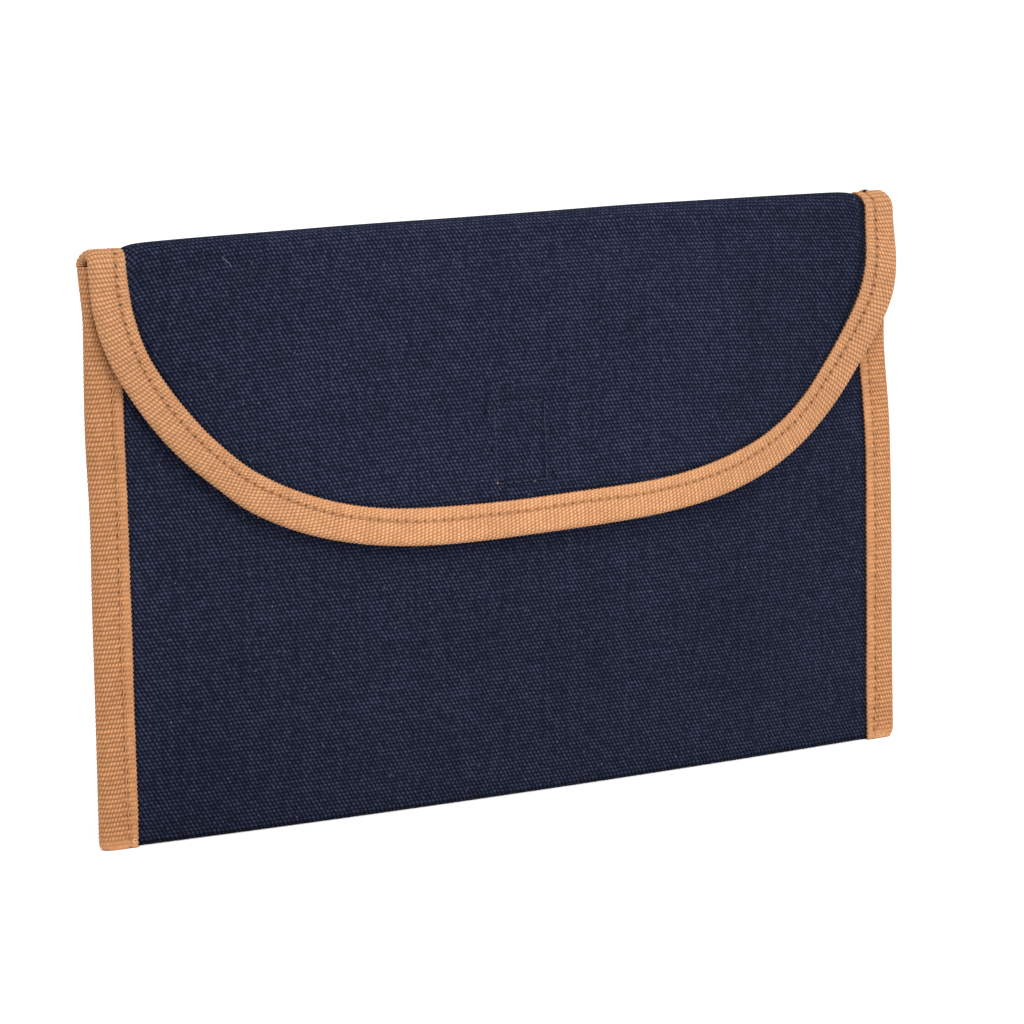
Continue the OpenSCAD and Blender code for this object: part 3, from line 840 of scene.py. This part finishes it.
def side_tape(name, node, s):
    surface = side_surface(s)
    rows = tape_rows(FOLD_Z)
    # Painted shade on the left tape only.
    painted_shade = 0.07 if s < 0 else 0.0
    thing = tape_piece(name, rows, surface, SIDE_TAPE_MAT, 0.55, painted_shade, ends=(True, False))
    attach(thing, "case")
    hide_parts(node)
    return surface


LEFT, RIGHT = side_tape("left_tape", "left_binding", -1), side_tape("right_tape", "right_binding", 1)
# 0.19 is painted shade that grows towards the ends of the flap's tape.
flap_tape = tape_piece("flap_tape", tape_rows(FLAP_RUN), flap_surface, TAPE_MAT, 0.15, 0.19)
bend_with_fold(flap_tape)
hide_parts("flap_binding")

# --- Thread ---------------------------------------------------------------------------------------


def sew(name, node, paths, radius, material, body="case", blended=False):
    """A piece made of threads, which stands for a CAD node where one is given."""
    thing = tubes(name, paths, radius, material)
    if blended:
        bend_with_fold(thing)
    else:
        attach(thing, body)
    if node:
        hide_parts(node)


def wall_thread(y_at, side, c0, ends, pitch, lift=0.14):
    """Stitches on a cloth wall along the straight line between two (x, z) ends."""
    (x0, z0), (x1, z1) = ends
    length = math.hypot(x1 - x0, z1 - z0)
    count = max(1, int(round(length / pitch)))
    paths = []
    for k in range(count):
        t = (k + np.linspace(0.10, 0.90, 6)) / count
        s = np.linspace(-1, 1, 6)
        x, z = mix(x0, x1, t) + 0.05 * math.sin(k * 1.9), mix(z0, z1, t) + 0.05 * math.sin(k * 2.7)
        y = y_at(x, z) + side * (c0 + lift * (1 - np.abs(s) ** 2.4) - 0.12 * np.abs(s) ** 5)
        up = np.tile([0.0, side, 0.0], (6, 1))
        paths.append((np.stack([bow(x, z) if y_at is not flap_y else x, y, z], -1), up))
    return paths


def curl(surface, face, spots):
    """A loose thread end through (v, q, height above the tape) spots."""
    spots = np.array(spots, float)
    fine = np.linspace(0, len(spots) - 1, 5 * len(spots))
    v, q, c = (np.interp(fine, np.arange(len(spots)), k) for k in spots.T)
    smooth = np.array([0.25, 0.5, 0.25])
    for _ in range(3):
        v, q, c = (np.concatenate([k[:1], np.convolve(k, smooth, "valid"), k[-1:]]) for k in (v, q, c))
    return on_tape(surface, v, q, face, TAPE + c)


def fray(surface, count, low, high):
    """Fine fibres that have worked loose across the end of a side tape."""
    rng = np.random.default_rng(3)
    ends = []
    for q in np.linspace(0.9, TAPE_W - 0.8, count):
        v, run, lift = rng.uniform(low, high), rng.uniform(0.5, 1.5), rng.uniform(0.15, 0.45)
        spots = [(v, q, 0.02), (v - 0.2, q + run * 0.5, lift), (v + 0.1, q + run, 0.08)]
        ends.append(curl(surface, 1, spots))
    return ends


def end_loop(surface):
    """The small loop of thread that closes the left seam."""
    spots = []
    for a in np.linspace(0.5, 6.2, 8):
        v, q = 1.9 + 0.55 * math.sin(a), 8.9 + 0.55 * math.cos(a)
        spots.append((v, q, 0.15 + 0.1 * math.sin(a)))
    return curl(surface, 1, spots)


def flap_bit(spots, lift=0.1):
    """A bit of thread lying on the flap's face through (x, z) spots, mm."""
    x, z = np.array(spots, float).T
    fine = np.linspace(0, len(x) - 1, 4 * len(x))
    x, z = (np.interp(fine, np.arange(len(k)), k) for k in (x, z))
    y = flap_y(x, z) - CANVAS / 2 - lift * np.sin(np.linspace(0.3, np.pi - 0.3, len(x)))
    return np.stack([x, y, z], -1), np.tile([0.0, -1.0, 0.0], (len(x), 1))


def tuft():
    """Ends of navy thread that stand up where the flap's seam crosses the fold on the right."""
    paths = []
    for k, lean in enumerate((-0.7, 0.1, 0.8)):
        t = np.linspace(0, 1, 8)
        x = 122.3 + 0.2 * (k - 1) + 0.6 * lean * t**1.5
        z = FOLD_Z + FOLD_RZ + LEAF_OUT - 0.15 + 0.7 * np.sin(2.2 * t)
        y = -1.0 + 0.4 * np.sin(3 * t + k)
        paths.append((np.stack([x, y, z], -1), np.tile([0.0, -1.0, 0.0], (8, 1))))
    return paths


def thread_box(y_at, side):
    """The stitched rectangle that holds a patch."""
    m = BOX_INSET
    left, right, low, high = PATCH_LEFT + m, PATCH_RIGHT - m, PATCH_LOW + m, PATCH_HIGH - m
    corners = [(left, low), (right, low), (right, high), (left, high)]
    paths = []
    for ends in zip(corners, corners[1:] + corners[:1]):
        paths += wall_thread(y_at, side, CANVAS / 2 + SUNK, ends, BOX_STITCH)
    return paths


for name, surface in (("left", LEFT), ("right", RIGHT)):
    front = seam(np.arange(1.5, MOUTH_Z - 2, STITCH), surface, 1)
    back = seam(np.arange(1.5, FOLD_Z - 3.2, STITCH), surface, -1)
    sew(f"{name}_stitches", f"{name}_seam", front + back, SEAM_R, SIDE_THREAD)
    if name == "left":
        sew("left_end_loop", None, [end_loop(surface)], 0.13, FRAY_THREAD)
    if name == "right":
        sew("right_end_fray", None, fray(surface, 26, 0.3, 1.6), 0.06, FRAY_THREAD)
    starts = np.arange(2.6, 12, LOCK_STITCH)
    lock = seam(starts, surface, 1, q=SEAM_Q - 1.3, pitch=LOCK_STITCH, lean=-0.2)
    sew(f"{name}_lock_stitches", f"{name}_backtack", lock, LOCK_R, SIDE_THREAD)

outside = seam(np.arange(3.0, FLAP_RUN - 5.5, STITCH), flap_surface, 1)
inside = seam(np.arange(ARC_RUN + 3, FLAP_RUN - ARC_RUN - 5.5, STITCH), flap_surface, -1)
sew("flap_stitches", "flap_seam", outside + inside, SEAM_R, SIDE_THREAD, blended=True)

specks = [flap_bit([(-9.9, 88.5), (-9.4, 88.7)]), flap_bit([(2.0, 88.2), (2.4, 87.9)])]
sew("flap_specks", None, specks, 0.14, TAN_THREAD, body="flap")
marks = [
    (9.2, 88.4), (8.3, 89.6), (-11.3, 97.8), (-11.9, 96.4), (-18.7, 95.6), (19.6, 106.7), (-12.7, 108.3),
]
flecks = [flap_bit([(x - 0.35, z), (x, z + 0.2), (x + 0.3, z - 0.1)], 0.05) for x, z in marks]
sew("flap_flecks", None, flecks, 0.34, DARK_FLECK, body="flap")
hair = [flap_bit([(-89.5, 156.2), (-88.6, 154.9), (-87.7, 154.3), (-87.0, 153.1)], 0.16)]
sew("flap_lint", None, hair, 0.07, LINT_THREAD, body="flap")
sew("fold_tuft", None, tuft(), 0.20, NAVY_THREAD, blended=True)

hook_box, loop_box = thread_box(flap_y, -1), thread_box(front_y, 1)
sew("hook_box_stitches", "hook_stitches", hook_box, BOX_R, NAVY_THREAD, body="flap")
sew("loop_box_stitches", "loop_stitches", loop_box, BOX_R, NAVY_THREAD)

low = MOUTH_Z - HEM_H + 2
mouth = wall_thread(front_y, -1, CANVAS / 2 + SUNK, ((-REACH, low), (REACH, low)), STITCH)
sew("mouth_hem_stitches", "mouth_stitches", mouth, NAVY_R, NAVY_THREAD)
between = []
for x in np.linspace(-REACH, REACH, SLOTS + 1)[1:-1]:
    ends = ((x, 6.0), (x, SLOT_H - HEM_H - 1))
    between += wall_thread(slot_y, -1, SLOT_T / 2 + SUNK, ends, STITCH)
sew("slot_row_stitches", "slot_stitches", between, NAVY_R, NAVY_THREAD)
low = SLOT_H - HEM_H + 2
hem = wall_thread(slot_y, -1, SLOT_T * 1.5 + TOUCH + SUNK, ((-REACH, low), (REACH, low)), STITCH)
sew("slot_hem_row_stitches", "slot_hem_stitches", hem, NAVY_R, NAVY_THREAD)

# --- Closure ----------------------------------------------------------------------------------------


def patch_base(name, node, y_at, side, material, body):
    """The woven ground of a patch. Its hooks or loops are the piece that stands on it."""
    xs, zs = np.linspace(PATCH_LEFT, PATCH_RIGHT, 61), np.linspace(PATCH_LOW, PATCH_HIGH, 76)
    x, z = np.meshgrid(xs, zs, indexing="ij")
    rim = np.minimum(PATCH_HALF - np.abs(x - PATCH_X), np.minimum(z - PATCH_LOW, PATCH_HIGH - z))
    thick = 0.45 + 0.12 * ease(rim / 0.5)
    y = y_at(x, z) + side * LEAF_IN
    bow_x = x if body == "flap" else bow(x, z)
    thing = slab(
        name, np.stack([bow_x, y + side * thick, z], -1), np.stack([bow_x, y, z], -1),
        np.stack([x, z], -1), material, shade=np.zeros_like(x),
    )
    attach(thing, body)
    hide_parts(node)


def pile(name, y_at, side, body, material, pitch, hooked):
    """Hooks, or a tangle of loops, standing on a patch."""
    rng = np.random.default_rng(7)
    paths = []
    base = LEAF_IN + 0.5
    for x in np.arange(PATCH_LEFT + 0.8, PATCH_RIGHT - 0.7, pitch):
        for z in np.arange(PATCH_LOW + 0.9, PATCH_HIGH - 0.8, pitch):
            jx, jz = rng.uniform(-0.12, 0.12, 2)
            turn = 0.0 if hooked else rng.uniform(0, math.pi)
            a = np.linspace(0, 1.25 * math.pi if hooked else math.pi, 6)
            r = 0.24 if hooked else 0.34
            along = r * (1 - np.cos(a)) - r
            up = (0.16 if hooked else -0.05) + r * np.sin(a)
            up[0] = -0.1
            if not hooked:
                up[-1] = -0.1
            px, pz = x + jx + along * math.sin(turn), z + jz + along * math.cos(turn)
            y = y_at(px, pz) + side * (base + up)
            other = np.tile([math.cos(turn), 0.01, -math.sin(turn)], (6, 1))
            paths.append((np.stack([px, y, pz], -1), other))
    thing = tubes(name, paths, 0.065 if hooked else 0.055, material, sides=4, taper=0.9)
    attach(thing, body)
    return thing


hooks = pile("hook_pile", flap_y, 1, "flap", HOOK_MAT, 0.85, True)
loops = pile("loop_pile", front_y, -1, "case", LOOP_MAT, 0.75, False)
patch_base(
    "hook_tape_base", "hook_patch", flap_y, 1, HOOK_MAT, "flap",
)
patch_base(
    "loop_tape_base", "loop_patch", front_y, -1, LOOP_MAT, "case",
)

# --- Floor, light and camera --------------------------------------------------------------------


def floor():
    g = Graph("floor", roughness=0.9, sheen=0.0, sheen_roughness=0.5, specular=0.1)
    speck = g.noise(g.uv, 0.6, 3.0)
    colour = g.colours(speck, (0.3, (0.945, 0.945, 0.945)), (0.7, (0.965, 0.965, 0.965)))
    material = g.finish(colour, speck, 0.05)
    size, speckles, low = 12000.0, 80, -0.02
    corners = [(0, 0), (1, 0), (1, 1), (0, 1)]
    verts = [((2 * a - 1) * size, (2 * b - 1) * size, low) for a, b in corners]
    uv = [(a * speckles, b * speckles) for a, b in corners]
    thing = make("floor", verts, [(0, 1, 2, 3)], uv, material)


def hang(light, place, toward):
    """Put a light in the scene, shining along a direction."""
    thing = bpy.data.objects.new(light.name, light)
    thing.location = place
    thing.rotation_mode = "QUATERNION"
    thing.rotation_quaternion = toward.to_track_quat("-Z", "Y")
    bpy.context.collection.objects.link(thing)


def area_light(name, place, aim, size, power):
    light = bpy.data.lights.new(name, "AREA")
    light.shape, light.size, light.energy = "DISK", size, power
    hang(light, place, Vector(aim) - Vector(place))


def studio():
    world = bpy.data.worlds.new("studio")
    bpy.context.scene.world = world
    world.use_nodes = True
    background = world.node_tree.nodes["Background"]
    background.inputs[0].default_value = (1, 1, 1, 1)
    background.inputs[1].default_value = 0.92
    sun = bpy.data.lights.new("sun", "SUN")
    sun.energy, sun.angle = 1.5, math.radians(28)
    hang(sun, (0, 0, 0), Vector((0.45, 0.9, -1.3)))
    area_light("key", (0.45, -1.3, 1.0), (0, 0, 0.08), 0.9, 11)
    area_light("fill", (1.3, -1.1, 0.7), (0, 0, 0.08), 1.2, 2.5)
    area_light("top", (0, 0.15, 1.5), (0, 0, 0.1), 1.0, 4)


def camera():
    data = bpy.data.cameras.new("camera")
    data.lens, data.sensor_width = 170.65, 36
    thing = bpy.data.objects.new("camera", data)
    bpy.context.collection.objects.link(thing)
    around, above, roll = (math.radians(k) for k in (-31.30, 8.02, -1.57))
    across, away = math.sin(around) * math.cos(above), -math.cos(around) * math.cos(above)
    back = Vector((across, away, math.sin(above)))
    right = (-back).cross(Vector((0, 0, 1))).normalized()
    up = right.cross(-back)
    cos, sin = math.cos(roll), math.sin(roll)
    right, up = right * cos + up * sin, up * cos - right * sin
    aim, distance = Vector((0.0023, 0, 0.078)), 1.3496
    place = aim + back * distance - right * 0.0011 + up * 0.00028
    thing.matrix_world = Matrix.Translation(place) @ Matrix((right, up, back)).transposed().to_4x4()
    bpy.context.scene.camera = thing


floor()
studio()
camera()
bpy.context.scene.view_settings.view_transform = "Standard"
